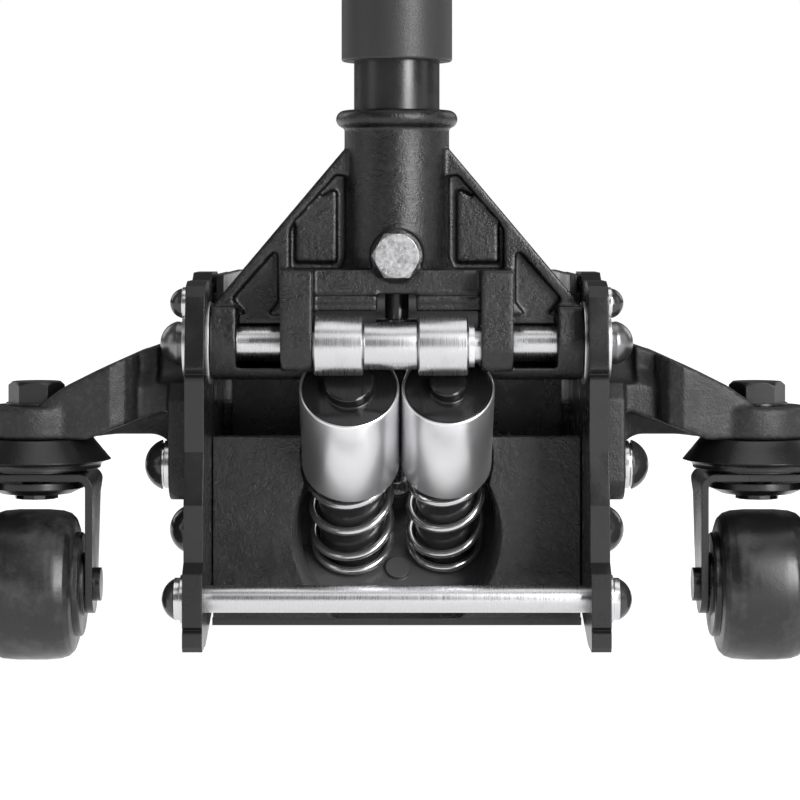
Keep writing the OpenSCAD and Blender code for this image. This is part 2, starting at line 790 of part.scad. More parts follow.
module bumper_sleeve() {
  color(rubber) translate([0, pivot_y, 248]) ring(23, tube_r + fit, 352);
}

module handle_upper_tube() {
  wall = 2.3;
  in_r = tube_r - 2.5 - fit;
  color(black) difference() {
    translate([0, pivot_y, joint_z - 50]) {
      ring(in_r, in_r - wall, 52);
      translate([0, 0, 50.2]) ring(tube_r, in_r - wall, handle_top - joint_z - 8.2);
    }
    translate([0, pivot_y - 5, button_z]) rotate([90, 0, 0]) cylinder(r = 4 + fit, h = 20);
  }
}

// Ribbed grip around the top of the handle
module handle_grip() {
  color(rubber) translate([0, pivot_y, handle_top - 140]) difference() {
    cylinder(r = 21, h = 131);
    translate([0, 0, -eps]) cylinder(r = tube_r + fit, h = 140);
    for (z = [14 : 11 : 120]) translate([0, 0, z]) ring(24, 20, 4);
  }
}

module handle_end_cap() {
  color(rubber) translate([0, pivot_y, handle_top - 8]) {
    translate([0, 0, -22]) cylinder(r = tube_r - 5, h = 22.5);
    cylinder(r = tube_r + 1.5, h = 5);
    translate([0, 0, 5]) cylinder(r1 = tube_r + 1.5, r2 = tube_r - 2, h = 3);
  }
}

// Drive plug in the foot of the handle, reaching down to the release joint
module release_drive() {
  color(dark_steel) translate([0, pivot_y, 0]) {
    translate([0, 0, pivot_z + 7.4]) cylinder(r = 5, h = 50);
    translate([0, 0, 180]) cylinder(r = tube_r - 2.5 - fit, h = 8);
    for (s = [-1, 1]) translate([s * 7.75 - 1.25, -3, pivot_z + 1.6]) cube([2.5, 6, 8.4]);
    translate([0, 0, pivot_z + 7.4]) cylinder(r = 9, h = 2.6);
  }
}

// Sprung button that locks the two handle halves together
module snap_button() {
  color(chrome) translate([0, pivot_y, button_z]) rotate([90, 0, 0]) {
    translate([0, 0, 8.6]) cylinder(r = 5.4, h = 2.8);
    translate([0, 0, 11.3]) cylinder(r = 4, h = 7.8);
    translate([0, 0, 19]) dome(4, 1.8);
  }
}

// -------------------------------------------------------------- pump pieces

// Ball-ended stem that opens the release valve, at rest in line with its seat
module release_valve_stem() {
  color(dark_steel) on_face() {
    translate([0, pivot_t, -10]) cylinder(r = 4, h = pivot_n + 10);
    translate([0, pivot_t, pivot_n]) sphere(r = 6);
    translate([0, pivot_t, 30]) cylinder(r = 5.5, h = 8);
  }
}

module plunger(i) {
  color(dark_steel) on_face() translate([pump_x[i], pump_t, 0]) {
    translate([0, 0, 14]) cylinder(r = plunger_r, h = rim_n - 16);
    translate([0, 0, rim_n - 4]) cylinder(r = cover_r[i] - 1.25, h = 3.2);
    translate([0, 0, rim_n - 1]) cylinder(r = button_r[i], h = head_n - rim_n + 0.4);
    translate([0, 0, head_n - 0.7]) cylinder(r1 = button_r[i], r2 = button_r[i] - 0.7, h = 0.7);
  }
}

module left_plunger() { plunger(0); }
module right_plunger() { plunger(1); }

// Thin chromed tube with an inner ledge that hangs it under the plunger head
module spring_cover(i) {
  r = cover_r[i];
  color(chrome) on_face() translate([pump_x[i], pump_t, rim_n - cover_len])
    rotate_extrude($fn = 96) polygon([
      [r - 1.2, 0], [r - 0.3, 0], [r, 0.3], [r, cover_len - 1.2], [r - 0.3, cover_len - 0.4],
      [r - 0.8, cover_len], [r - 1.2, cover_len], [r - 1.2, cover_len - 4],
      [r - 1.7, cover_len - 4.05], [r - 1.7, cover_len - 5.2], [r - 1.2, cover_len - 5.6]
    ]);
}

module left_spring_cover() { spring_cover(0); }
module right_spring_cover() { spring_cover(1); }

module pump_spring(i) {
  color(chrome) on_face() translate([pump_x[i], pump_t, seat_n + 0.1])
    rotate([0, 0, spring_start])
      coil(spring_r[i], spring_wire, rim_n - 4.2 - seat_n, spring_turns, 20, 8);
}

module left_pump_spring() { pump_spring(0); }
module right_pump_spring() { pump_spring(1); }

// ------------------------------------------------------ ram and return springs

module ram_rod() {
  color(chrome) translate([0, block_y + 3, ram_z]) rotate([-90, 0, 0])
    cylinder(r = ram_r, h = lug_y - 14 - block_y - 3);
}

// Slotted block on the end of the ram, with a beam below for the springs
module crosshead() {
  slot_h = (lug_z - lug_mid_z) / 2 + 1;
  color(dark_steel) difference() {
    union() {
      translate([-16, lug_y - 14, ram_z - 20]) cube([32, 28, 40]);
      translate([-10, lug_y - 8, bar_z - 6]) cube([20, 16, ram_z - bar_z - 12]);
      translate([-58, lug_y - 6, bar_z - 6]) cube([116, 12, 12]);
    }
    slab_x(-20, 20) {
      for (s = [-1, 1]) translate([lug_y, ram_z + s * slot_h]) circle(r = tip_pin_r + slot_gap);
      translate([lug_y - tip_pin_r - slot_gap, ram_z - slot_h])
        square([2 * (tip_pin_r + slot_gap), 2 * slot_h]);
    }
  }
}

// Tension springs from the anchor bar to the beam of the crosshead
module return_springs() {
  gap = lug_y - 6 - bar_y - 5;
  color(steel) for (x = [-50, 50])
    translate([x, bar_y + 5.1, bar_z]) rotate([-90, 0, 0])
      coil(6.4, 2.6, gap - 0.2, 14, 14, 6);
}

// ----------------------------------------------------- lift arm and its saddle

// Arm axes: origin at the arm pivot, Y along the arm, Z across it
module on_arm() {
  translate([0, arm_y, arm_z]) rotate([-arm_drop, 0, 0]) children();
}

module arm_side() {
  difference() {
    union() {
      link([0, 0], [arm_len, 0], 26, 15);
      polygon([[16, 0], [16, -20], [60, -34], [200, -34], [arm_len - 48, -16], [arm_len - 48, 0]]);
    }
    translate([arm_len, 0]) circle(r = tip_pin_r);
    link([110, -6], [180, -8], 14, 12);
  }
}

module lift_arm() {
  color(black) difference() {
    union() {
      on_arm() {
        both_sides() slab_x(arm_x[0], arm_x[1]) arm_side();
        bar_x(-arm_x[0] - 1, arm_x[0] + 1, 0, 0, 20);
        slab_x(-arm_x[0] - 1, arm_x[0] + 1)
          polygon([[40, 17], [40, 23], [arm_len - 60, 19], [arm_len - 60, 13]]);
        slab_x(-arm_x[0] - 1, arm_x[0] + 1) translate([200, -30]) square([6, 46]);
      }
      both_sides() slab_x(17, 27) difference() {
        link([arm_y, arm_z], [lug_y, lug_z], 19, 14);
        translate([lug_y, lug_z]) circle(r = tip_pin_r);
      }
    }
    bar_x(-plate_in, plate_in, arm_y, arm_z, arm_shaft_r + fit);
  }
}

// Ram pin through the lugs and tip pin through the fork of the arm
module lift_arm_pins() {
  color(steel) {
    bar_x(-29, 29, lug_y, lug_z, tip_pin_r);
    bar_x(-arm_x[1] - 2, arm_x[1] + 2, tip_y, tip_z, tip_pin_r);
  }
}

// Stub pins on the side plates that carry the levelling rods
module levelling_rod_pins() {
  color(steel) both_sides() {
    bar_x(level_x[0] - 1, plate_out - 1, arm_y + level_off[0], arm_z + level_off[1], level_pin_r);
    bar_x(level_x[1] + 0.5, plate_in, arm_y + level_off[0], arm_z + level_off[1], 8);
  }
}

// Two equal links that keep the saddle level, parallel to the arm
module levelling_rods() {
  rear = [arm_y + level_off[0], arm_z + level_off[1]];
  fore = [tip_y + level_off[0], tip_z + level_off[1]];
  color(dark_steel) both_sides() slab_x(level_x[0] + 0.3, level_x[1]) difference() {
    union() {
      translate(rear) circle(r = 9);
      translate(fore) circle(r = 9);
      link(rear, fore, 5, 5);
    }
    translate(rear) circle(r = level_pin_r + fit);
    translate(fore) circle(r = level_pin_r + fit);
  }
}

// Saddle bracket on the tip pin, with side pins for the levelling rods
module saddle_bracket() {
  pin = [tip_y + level_off[0], tip_z + level_off[1]];
  color(cast) difference() {
    union() {
      bar_x(-46, 46, tip_y, tip_z, 14);
      translate([-34, tip_y - 23, tip_z + 8]) cube([68, 46, 20]);
      both_sides() {
        slab_x(38, 48) link([tip_y, tip_z], pin, 14, 9);
        bar_x(47, level_x[1] + 1, pin[0], pin[1], level_pin_r);
      }
    }
    bar_x(-60, 60, tip_y, tip_z, tip_pin_r + fit);
    translate([0, tip_y, tip_z + 13]) cylinder(r = 10 + fit, h = 20);
  }
}

// Round saddle with a toothed rim, turning on a short post
module saddle() {
  z0 = tip_z + 28.3;
  color(dark_steel) translate([0, tip_y, z0]) {
    translate([0, 0, -14.8]) cylinder(r = 10, h = 16);
    difference() {
      union() {
        cylinder(r1 = saddle_r - 6, r2 = saddle_r, h = 6);
        translate([0, 0, 5.9]) cylinder(r = saddle_r, h = 8);
      }
      translate([0, 0, 6]) cylinder(r = saddle_r - 6, h = 20);
      for (a = [0 : 45 : 135]) rotate([0, 0, a]) translate([-60, -7, 8]) cube([120, 14, 20]);
    }
  }
}

module saddle_pad() {
  color(rubber) translate([0, tip_y, tip_z + 28.3 + 6]) {
    cylinder(r = saddle_r - 6.2, h = 5);
    translate([0, 0, 4.9]) cylinder(r1 = saddle_r - 7, r2 = saddle_r - 9, h = 2);
  }
}

// -------------------------------------------------------------------- nodes

left_side_plate();
right_side_plate();
power_unit_block();
pump_barrels();
release_valve_gland();
reservoir();
filler_plug();
cylinder_gland();
base_plate();
cross_bars();
rear_tie_rod();
tie_rod_nuts();
left_caster_arm();
right_caster_arm();
caster_arm_bolts();
frame_screws();
handle_pivot_bolts();
pivot_washers();
arm_pivot_shaft();
front_axle();
axle_nuts();
levelling_rod_pins();
caster_races();
caster_kingpins();
handle_yoke();
roller_shaft();
roller_spacer();
shaft_clip();
lock_bolt();
left_roller();
right_roller();
handle_lower_tube();
bumper_sleeve();
handle_upper_tube();
handle_grip();
handle_end_cap();
release_drive();
snap_button();
release_valve_stem();
left_plunger();
right_plunger();
left_spring_cover();
right_spring_cover();
left_pump_spring();
right_pump_spring();
ram_rod();
crosshead();
return_springs();
lift_arm();
lift_arm_pins();
levelling_rods();
saddle_bracket();
saddle();
saddle_pad();
left_caster_fork();
right_caster_fork();
left_caster_wheel();
right_caster_wheel();
left_front_wheel();
right_front_wheel();
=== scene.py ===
import json
import math

import bmesh
import bpy
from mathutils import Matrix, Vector


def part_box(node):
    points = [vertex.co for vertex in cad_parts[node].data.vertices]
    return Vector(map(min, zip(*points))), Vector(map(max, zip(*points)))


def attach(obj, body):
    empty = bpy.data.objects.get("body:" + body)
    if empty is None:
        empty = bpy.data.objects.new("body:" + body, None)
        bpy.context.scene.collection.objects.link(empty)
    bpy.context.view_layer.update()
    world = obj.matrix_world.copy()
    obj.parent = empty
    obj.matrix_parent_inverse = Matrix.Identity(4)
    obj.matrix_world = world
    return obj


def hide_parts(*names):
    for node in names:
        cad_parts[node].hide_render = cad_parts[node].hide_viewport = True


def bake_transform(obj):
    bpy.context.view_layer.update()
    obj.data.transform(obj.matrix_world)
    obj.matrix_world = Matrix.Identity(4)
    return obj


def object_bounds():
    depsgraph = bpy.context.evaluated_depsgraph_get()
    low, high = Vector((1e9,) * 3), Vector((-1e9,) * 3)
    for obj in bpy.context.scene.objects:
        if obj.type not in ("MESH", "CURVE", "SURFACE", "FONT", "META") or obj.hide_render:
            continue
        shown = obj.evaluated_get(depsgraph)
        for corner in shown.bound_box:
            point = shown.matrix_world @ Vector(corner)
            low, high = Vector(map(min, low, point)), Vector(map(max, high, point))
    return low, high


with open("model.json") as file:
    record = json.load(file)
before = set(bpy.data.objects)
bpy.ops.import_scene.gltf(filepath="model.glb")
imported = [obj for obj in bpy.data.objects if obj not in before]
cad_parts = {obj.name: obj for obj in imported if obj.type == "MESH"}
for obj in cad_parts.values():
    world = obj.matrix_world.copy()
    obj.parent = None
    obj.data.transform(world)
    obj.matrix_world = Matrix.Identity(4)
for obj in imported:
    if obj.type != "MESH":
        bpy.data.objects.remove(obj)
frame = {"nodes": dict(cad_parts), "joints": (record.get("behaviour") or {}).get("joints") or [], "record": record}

# Looks for the hydraulic trolley jack. Everything is in metres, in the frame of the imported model.

MM = 0.001
NODES = frame["nodes"]
JOINTS = {j["name"]: j for j in frame["joints"]}
BODY_OF = {n: b for b, ns in frame["record"]["behaviour"]["bodies"].items() for n in ns}
CAD_BOX = [list(v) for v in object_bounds()]
TAIL = CAD_BOX[0][1]


# ------------------------------------------------------------------ node helpers

class Finish:
    """A Principled material with helpers for noise-driven colour, roughness and bump."""

    def __init__(self, name, colour, rough, metallic=0.0, specular=0.5):
        self.mat = bpy.data.materials.new(name)
        self.mat.use_nodes = True
        self.tree = self.mat.node_tree
        self.shader = self.tree.nodes["Principled BSDF"]
        self.colour = colour
        self.put("Base Color", (*colour, 1.0))
        self.put("Roughness", rough)
        self.put("Metallic", metallic)
        self.put("Specular IOR Level", specular)
        self.place = self.tree.nodes.new("ShaderNodeTexCoord").outputs["Object"]
        self.normal = None

    def put(self, socket, value):
        self.shader.inputs[socket].default_value = value

    def stretched(self, scale):
        """Object position scaled by a vector, for grain that runs one way."""
        mapping = self.tree.nodes.new("ShaderNodeMapping")
        mapping.inputs["Scale"].default_value = scale
        self.tree.links.new(self.place, mapping.inputs["Vector"])
        return mapping.outputs["Vector"]

    def noise(self, scale, detail=3.0, rough=0.55, place=None):
        made = self.tree.nodes.new("ShaderNodeTexNoise")
        made.inputs["Scale"].default_value = scale
        made.inputs["Detail"].default_value = detail
        made.inputs["Roughness"].default_value = rough
        self.tree.links.new(place or self.place, made.inputs["Vector"])
        return made.outputs["Fac"]

    def spread(self, value, low, high, start=0.3, end=0.7):
        """Maps a noise value from start..end to low..high."""
        made = self.tree.nodes.new("ShaderNodeMapRange")
        for key, number in (("From Min", start), ("From Max", end), ("To Min", low), ("To Max", high)):
            made.inputs[key].default_value = number
        self.tree.links.new(value, made.inputs["Value"])
        return made.outputs["Result"]

    def tint(self, value, other):
        """Mixes the base colour towards another by a 0..1 value."""
        mix = self.tree.nodes.new("ShaderNodeMix")
        mix.data_type = "RGBA"
        mix.inputs["A"].default_value = (*self.colour, 1.0)
        mix.inputs["B"].default_value = (*other, 1.0)
        self.tree.links.new(value, mix.inputs["Factor"])
        self.tree.links.new(mix.outputs["Result"], self.shader.inputs["Base Color"])

    def round_edges(self, radius):
        """Shades sharp edges as if they were rounded to a radius."""
        made = self.tree.nodes.new("ShaderNodeBevel")
        made.samples = 4
        made.inputs["Radius"].default_value = radius
        self.normal = made.outputs["Normal"]
        self.tree.links.new(self.normal, self.shader.inputs["Normal"])

    def vary_rough(self, value):
        self.tree.links.new(value, self.shader.inputs["Roughness"])

    def bump(self, value, depth, strength=1.0):
        """Adds a bump of a depth in metres on top of any earlier one."""
        made = self.tree.nodes.new("ShaderNodeBump")
        made.inputs["Distance"].default_value = depth
        made.inputs["Strength"].default_value = strength
        self.tree.links.new(value, made.inputs["Height"])
        if self.normal:
            self.tree.links.new(self.normal, made.inputs["Normal"])
        self.normal = made.outputs["Normal"]
        self.tree.links.new(self.normal, self.shader.inputs["Normal"])


def grey(v):
    return (v, v, v * 1.02)


def powder_coat(name, level, rough):
    """Satin black powder coat: fine orange peel, rubbed edges, faint dust."""
    f = Finish(name, grey(level), rough, specular=0.5)
    f.round_edges(0.7 * MM)
    f.bump(f.noise(900, 2.0), 0.00010, 0.35)
    f.bump(f.noise(60, 3.0), 0.0002, 0.15)
    f.tint(f.spread(f.noise(22, 5.0, 0.65), 0.0, 1.0, 0.5, 0.8), grey(level * 1.6 + 0.002))
    f.vary_rough(f.spread(f.noise(45, 4.0), rough - 0.06, rough + 0.08))
    return f.mat


def painted_casting(name, level, rough, grain=1.0):
    """Painted sand casting: pebbled skin, shallow pits, paint that thins on the high spots."""
    f = Finish(name, grey(level), rough, specular=0.45)
    f.round_edges(0.8 * MM)
    skin = f.noise(420, 4.0, 0.6)
    lumps = f.noise(95, 3.0)
    f.bump(lumps, 0.0006 * grain, 0.35)
    f.bump(skin, 0.0004 * grain, 0.5)
    f.bump(f.noise(1300, 3.0, 0.6), 0.00022 * grain, 0.8)
    f.tint(f.spread(skin, 0.0, 1.0, 0.5, 0.75), grey(level * 2.5 + 0.003))
    f.vary_rough(f.spread(lumps, rough - 0.07, rough + 0.1))
    return f.mat


def turned_steel(name, level, rough, along=(1, 0, 0)):
    """Ground bright steel with fine marks round its axis and a few soft stains."""
    f = Finish(name, grey(level), rough, metallic=1.0)
    scale = [2200 if a else 40 for a in along]
    marks = f.noise(1.0, 2.0, 0.6, f.stretched(scale))
    stain = f.noise(90, 4.0, 0.6)
    f.bump(marks, 0.00002, 0.05)
    f.tint(f.spread(stain, 0.0, 0.6, 0.55, 0.85), grey(level * 0.75))
    f.vary_rough(f.spread(marks, rough - 0.03, rough + 0.05))
    return f.mat


def plated(name, level, rough):
    """Bright plating: slight ripple, clouded polish, a few dull freckles."""
    f = Finish(name, grey(level), rough, metallic=0.92)
    f.bump(f.noise(18, 0.0), 0.0001, 0.02)
    f.vary_rough(f.spread(f.noise(60, 2.0), rough - 0.02, rough + 0.04))
    f.tint(f.spread(f.noise(30, 2.0, 0.5), 0.0, 0.6, 0.4, 0.8), grey(level * 0.9))
    return f.mat


def speckled_plate(name, level, rough):
    """Rough zinc-plated forging: speckled face with worn bright spots."""
    f = Finish(name, grey(level), rough, metallic=0.95)
    f.round_edges(0.4 * MM)
    grains = f.noise(520, 5.0, 0.75)
    f.bump(grains, 0.00035, 0.5)
    f.tint(f.spread(grains, 0.0, 1.0, 0.42, 0.66), grey(level * 0.45))
    f.vary_rough(f.spread(f.noise(200, 3.0), rough - 0.08, rough + 0.1))
    return f.mat


def dark_metal(name, level, rough):
    """Black-chromed or oiled steel, brighter where it is rubbed."""
    f = Finish(name, grey(level), rough, metallic=0.55, specular=0.6)
    f.round_edges(0.5 * MM)
    rub = f.noise(190, 4.0, 0.62)
    f.tint(f.spread(rub, 0.0, 1.0, 0.6, 0.8), grey(level * 2.2))
    f.vary_rough(f.spread(f.noise(80, 3.0), rough - 0.06, rough + 0.1))
    f.bump(rub, 0.00008, 0.3)
    return f.mat


def foam(name, level):
    """Closed-cell foam sleeve: matt skin with fine cells."""
    f = Finish(name, grey(level), 0.45, specular=0.5)
    cells = f.noise(1300, 3.0, 0.7)
    f.bump(cells, 0.0002, 0.4)
    f.bump(f.noise(26, 3.0), 0.001, 0.12)
    f.tint(f.spread(f.noise(35, 4.0), 0.0, 1.0, 0.4, 0.8), grey(level * 1.2))
    f.vary_rough(f.spread(cells, 0.36, 0.52))
    return f.mat


def moulded_rubber(name, level, rough):
    """Dull moulded rubber with a bloom of dust."""
    f = Finish(name, grey(level), rough, specular=0.35)
    f.round_edges(0.6 * MM)
    f.bump(f.noise(700, 3.0), 0.0002, 0.5)
    f.tint(f.spread(f.noise(40, 5.0, 0.65), 0.0, 1.0, 0.45, 0.8), grey(level * 1.6 + 0.004))
    f.vary_rough(f.spread(f.noise(90, 3.0), rough - 0.08, rough + 0.1))
    return f.mat


def moulded_nylon(name, level, rough):
    """Wheel nylon: mottled grey, scuffed on the tread."""
    f = Finish(name, grey(level), rough, specular=0.5)
    f.round_edges(0.5 * MM)
    mottle = f.noise(55, 6.0, 0.72)
    f.bump(f.noise(500, 4.0), 0.0002, 0.25)
    f.bump(mottle, 0.0005, 0.25)
    f.tint(f.spread(mottle, 0.0, 1.0, 0.5, 0.72), grey(level * 4 + 0.008))
    f.vary_rough(f.spread(f.noise(45, 4.0), rough - 0.08, rough + 0.2))
    return f.mat


LOOK = {
    "black_paint": powder_coat("black_powder_coat", 0.005, 0.27),
    "cast_black": painted_casting("black_casting", 0.004, 0.27),
    "ground_steel": turned_steel("ground_steel", 0.55, 0.28),
    "chrome": plated("bright_plating", 0.72, 0.3),
    "dark_steel": dark_metal("dark_steel", 0.045, 0.16),
    "spring_steel": plated("spring_wire", 0.6, 0.2),
    "foam": foam("foam_sleeve", 0.011),
    "grip_rubber": moulded_rubber("grip_rubber", 0.016, 0.6),
    "wheel_plastic": moulded_nylon("wheel_nylon", 0.007, 0.28),
}
SLOT_OF = {s["node"]: s["material_slot"] for s in frame["record"]["subparts"]}
DOME_STEEL = plated("dome_steel", 0.2, 0.3)
BRIGHT_WASHER = turned_steel("washer_steel", 0.6, 0.24)
BOLT_PLATE = speckled_plate("bolt_plating", 0.42, 0.34)
TUBE_PAINT = powder_coat("tube_paint", 0.006, 0.27)
# Lighter paint for the inside of the pump block's recess: painted light that lifts the shade there
RECESS_PAINTED_LIGHT = powder_coat("recess_painted_light", 0.065, 0.3)
SAND_CASTING = painted_casting("sand_casting", 0.008, 0.48, 1.1)
PLUNGER_STEEL = dark_metal("plunger_steel", 0.018, 0.12)


def dress(obj, material):
    obj.data.materials.clear()
    obj.data.materials.append(material)


for name, obj in NODES.items():
    dress(obj, LOOK[SLOT_OF[name]])


# ------------------------------------------------------------------ piece helpers

def welded(node):
    """The CAD mesh of a node with its faces joined along their edges."""
    bm = bmesh.new()
    bm.from_mesh(NODES[node].data)
    bmesh.ops.remove_doubles(bm, verts=bm.verts, dist=1e-6)
    return bm


def stand_in(name, mesh, node, *materials):
    """Puts a finer mesh in place of a CAD node, with the same finish or with its own."""
    obj = bpy.data.objects.new(name, mesh)
    bpy.context.collection.objects.link(obj)
    for material in materials or (LOOK[SLOT_OF[node]],):
        mesh.materials.append(material)
    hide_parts(node)
    return obj


def made_mesh(name, bm, sharp=35.0):
    mesh = bpy.data.meshes.new(name)
    bm.to_mesh(mesh)
    bm.free()
    mesh.shade_smooth()
    mesh.set_sharp_from_angle(angle=math.radians(sharp))
    return mesh


def recast(node, voxel, passes, *materials, bore=None):
    """A casting with rounded edges and inside corners: remeshed in small cells, then smoothed.

    bore is a centre and radius across X that is kept open for the shaft running in it."""
    source = bpy.data.objects.new(node + "_source", made_mesh(node + "_source", welded(node)))
    bpy.context.collection.objects.link(source)
    skin = source.modifiers.new("skin", "REMESH")
    skin.mode = "VOXEL"
    skin.voxel_size = voxel
    soften = source.modifiers.new("soften", "SMOOTH")
    soften.factor = 0.5
    soften.iterations = passes
    graph = bpy.context.evaluated_depsgraph_get()
    mesh = bpy.data.meshes.new_from_object(source.evaluated_get(graph))
    bpy.data.objects.remove(source)
    if bore:
        centre, radius = bore
        for v in mesh.vertices:
            out = Vector((0, v.co.y - centre.y, v.co.z - centre.z))
            if radius / 2 < out.length < radius:
                v.co += out * (radius / out.length - 1)
    mesh.shade_smooth()
    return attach(stand_in(node + "_cast", mesh, node, *materials), BODY_OF[node])


def islands(bm):
    """The separate shells of a mesh, as lists of vertices, in the same order each run."""
    left, found = set(bm.verts), []
    for first in bm.verts:
        if first not in left:
            continue
        left.remove(first)
        stack = [first]
        shell = []
        while stack:
            v = stack.pop()
            shell.append(v)
            for e in v.link_edges:
                w = e.other_vert(v)
                if w in left:
                    left.remove(w)
                    stack.append(w)
        found.append(shell)
    return found


def section(faces, verts, turn):
    """Outlines (radius, height) of a turned shell about Z, cut by a half plane.

    Their radii are taken from the shell's own rings, which the flats between them would cut short."""
    part = bmesh.new()
    index = {v: part.verts.new(v.co) for v in verts}
    for face in faces:
        part.faces.new([index[v] for v in face.verts])
    rings = [(v.co.z, math.hypot(v.co.x, v.co.y)) for v in part.verts]
    side = Vector((math.cos(turn), math.sin(turn), 0))
    flat = Vector((-math.sin(turn), math.cos(turn), 0))
    bmesh.ops.bisect_plane(part, geom=part.verts[:] + part.edges[:] + part.faces[:],
                           plane_co=(0, 0, 0), plane_no=side, clear_inner=True)
    cut = bmesh.ops.bisect_plane(part, geom=part.verts[:] + part.edges[:] + part.faces[:],
                                 plane_co=(0, 0, 0), plane_no=flat)["geom_cut"]
    links = {}
    for e in cut:
        if isinstance(e, bmesh.types.BMEdge):
            a, b = e.verts
            links.setdefault(a, []).append(b)
            links.setdefault(b, []).append(a)
    outlines = []
    left = set(links)
    while left:
        waiting = [v for v in links if v in left]
        start = next((v for v in waiting if len(links[v]) == 1), waiting[0])
        chain, v = [], start
        while v is not None:
            chain.append(v)
            left.discard(v)
            v = next((w for w in links[v] if w in left), None)
        closed = len(links[start]) == 2
        points = []
        for v in chain:
            r, h = v.co.dot(side), v.co.z
            near = [q for z, q in rings if abs(z - h) < 2e-6 and r * 0.999 <= q <= r * 1.05 + 1e-5]
            points.append((max(near) if near and r > 1e-5 else r, h))
        if len(points) > 2:
            outlines.append((points, closed))
    part.free()
    return outlines


def eased(points, closed, radius):
    """An outline without its needless points and with each corner cut by a short arc."""
    apart = [p for i, p in enumerate(points)
             if math.dist(p, points[i - 1]) > 4e-6 or (i == 0 and not closed)]
    points, slim = apart, []
    count = len(points)
    for i, p in enumerate(points):
        if not closed and i in (0, count - 1):
            slim.append(p)
            continue
        a, b = Vector(points[i - 1]), Vector(points[(i + 1) % count])
        u, w = Vector(p) - a, b - Vector(p)
        if u.normalized().dot(w.normalized()) < 0.99995:
            slim.append(p)
    out, count = [], len(slim)
    for i, p in enumerate(slim):
        if not closed and i in (0, count - 1):
            out.append(p)
            continue
        a, b, c = Vector(slim[i - 1]), Vector(p), Vector(slim[(i + 1) % count])
        u, w = a - b, c - b
        turn = u.normalized().dot(w.normalized())
        if turn < -0.9:
            out.append(p)
            continue
        reach = min(radius, u.length * 0.4, w.length * 0.4)
        first, last = b + u.normalized() * reach, b + w.normalized() * reach
        for t in (0, 0.25, 0.5, 0.75, 1):
            q = first * (1 - t) ** 2 + b * 2 * t * (1 - t) + last * t ** 2
            out.append((q.x, q.y))
    return out


def spin(bm, points, closed, steps):
    """Sweeps an outline of (radius, height) round Z."""
    rings = []
    for r, h in points:
        if r < 1e-6:
            rings.append([bm.verts.new((0, 0, h))] * steps)
        else:
            rings.append([bm.verts.new((r * math.cos(2 * math.pi * k / steps),
                                        r * math.sin(2 * math.pi * k / steps), h))
                          for k in range(steps)])
    pairs = list(zip(rings, rings[1:] + rings[:1])) if closed else list(zip(rings, rings[1:]))
    for one, two in pairs:
        for k in range(steps):
            m = (k + 1) % steps
            corners = []
            for v in (one[k], one[m], two[m], two[k]):
                if v not in corners:
                    corners.append(v)
            if len(corners) > 2:
                bm.faces.new(corners)


def turned(node, axis, radius=0.4 * MM, steps=128, reshape=None, zone=None, base=None):
    """A turned part spun again at high resolution from its own CAD section, with eased edges.

    reshape may edit an outline; zone gives a material for a face centre in the row frame, or None."""
    source = welded(node)
    spinning = Vector(axis).normalized()
    turn = spinning.to_track_quat("Z", "Y").to_matrix()
    bmesh.ops.transform(source, matrix=turn.transposed().to_4x4(), verts=source.verts)
    bm = bmesh.new()
    for shell in islands(source):
        inside = set(shell)
        faces = [f for f in source.faces if f.verts[0] in inside]
        cx = (min(v.co.x for v in shell) + max(v.co.x for v in shell)) / 2
        cy = (min(v.co.y for v in shell) + max(v.co.y for v in shell)) / 2
        for v in shell:
            v.co.x -= cx
            v.co.y -= cy
        first = len(bm.verts)
        for points, closed in section(faces, shell, 0.05):
            if reshape:
                points = reshape(points)
            spin(bm, eased(points, closed, radius), closed, steps)
        bm.verts.ensure_lookup_table()
        for v in bm.verts[first:]:
            v.co.x += cx
            v.co.y += cy
    source.free()
    bmesh.ops.transform(bm, matrix=turn.to_4x4(), verts=bm.verts)
    bmesh.ops.recalc_face_normals(bm, faces=bm.faces)
    extra = []
    if zone:
        for face in bm.faces:
            other = zone(face.calc_center_median())
            if other:
                if other not in extra:
                    extra.append(other)
                face.material_index = 1 + extra.index(other)
    obj = stand_in(node + "_turned", made_mesh(node + "_turned", bm), node,
                   base or LOOK[SLOT_OF[node]], *extra)
    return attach(obj, BODY_OF[node])


# ------------------------------------------------------------------ finer pieces

# Clear radius round the pivot bolts, which the yoke turns on
YOKE_BORE = 7.85 * MM

dress(NODES["lock_bolt"], BOLT_PLATE)
dress(NODES["handle_lower_tube"], TUBE_PAINT)
dress(NODES["handle_upper_tube"], TUBE_PAINT)
recast("handle_yoke", 0.7 * MM, 3, bore=(Vector(JOINTS["handle_swing"]["pos_m"]), YOKE_BORE))
for side in ("left", "right"):
    recast(side + "_caster_arm", 1.0 * MM, 9, SAND_CASTING)

ALONG_X = (1, 0, 0)
UP = (0, 0, 1)
PUMP = Vector(JOINTS["left_plunger_stroke"]["axis"])
PLATE_OUT = 86 * MM


def washer_zone(start, end):
    """The bright washers between two distances outside the side plates."""
    return lambda c: BRIGHT_WASHER if start < abs(c.x) - PLATE_OUT < end else None


def mould_seam(points):
    """Adds a shallow mould line round the middle of a wheel's tread."""
    widest = max(r for r, h in points)
    rim = [h for r, h in points if r > widest - 1e-5]
    middle = (min(rim) + max(rim)) / 2
    depth, half = 0.5 * MM, 0.45 * MM
    out = []
    for i, (r, h) in enumerate(points):
        out.append((r, h))
        nr, nh = points[(i + 1) % len(points)]
        if min(r, nr) > widest - 1e-5 and (h - middle) * (nh - middle) < 0:
            way = 1 if nh > h else -1
            out += [(widest, middle - way * 2 * half), (widest - depth, middle - way * half / 2),
                    (widest - depth, middle + way * half / 2), (widest, middle + way * 2 * half)]
    return out


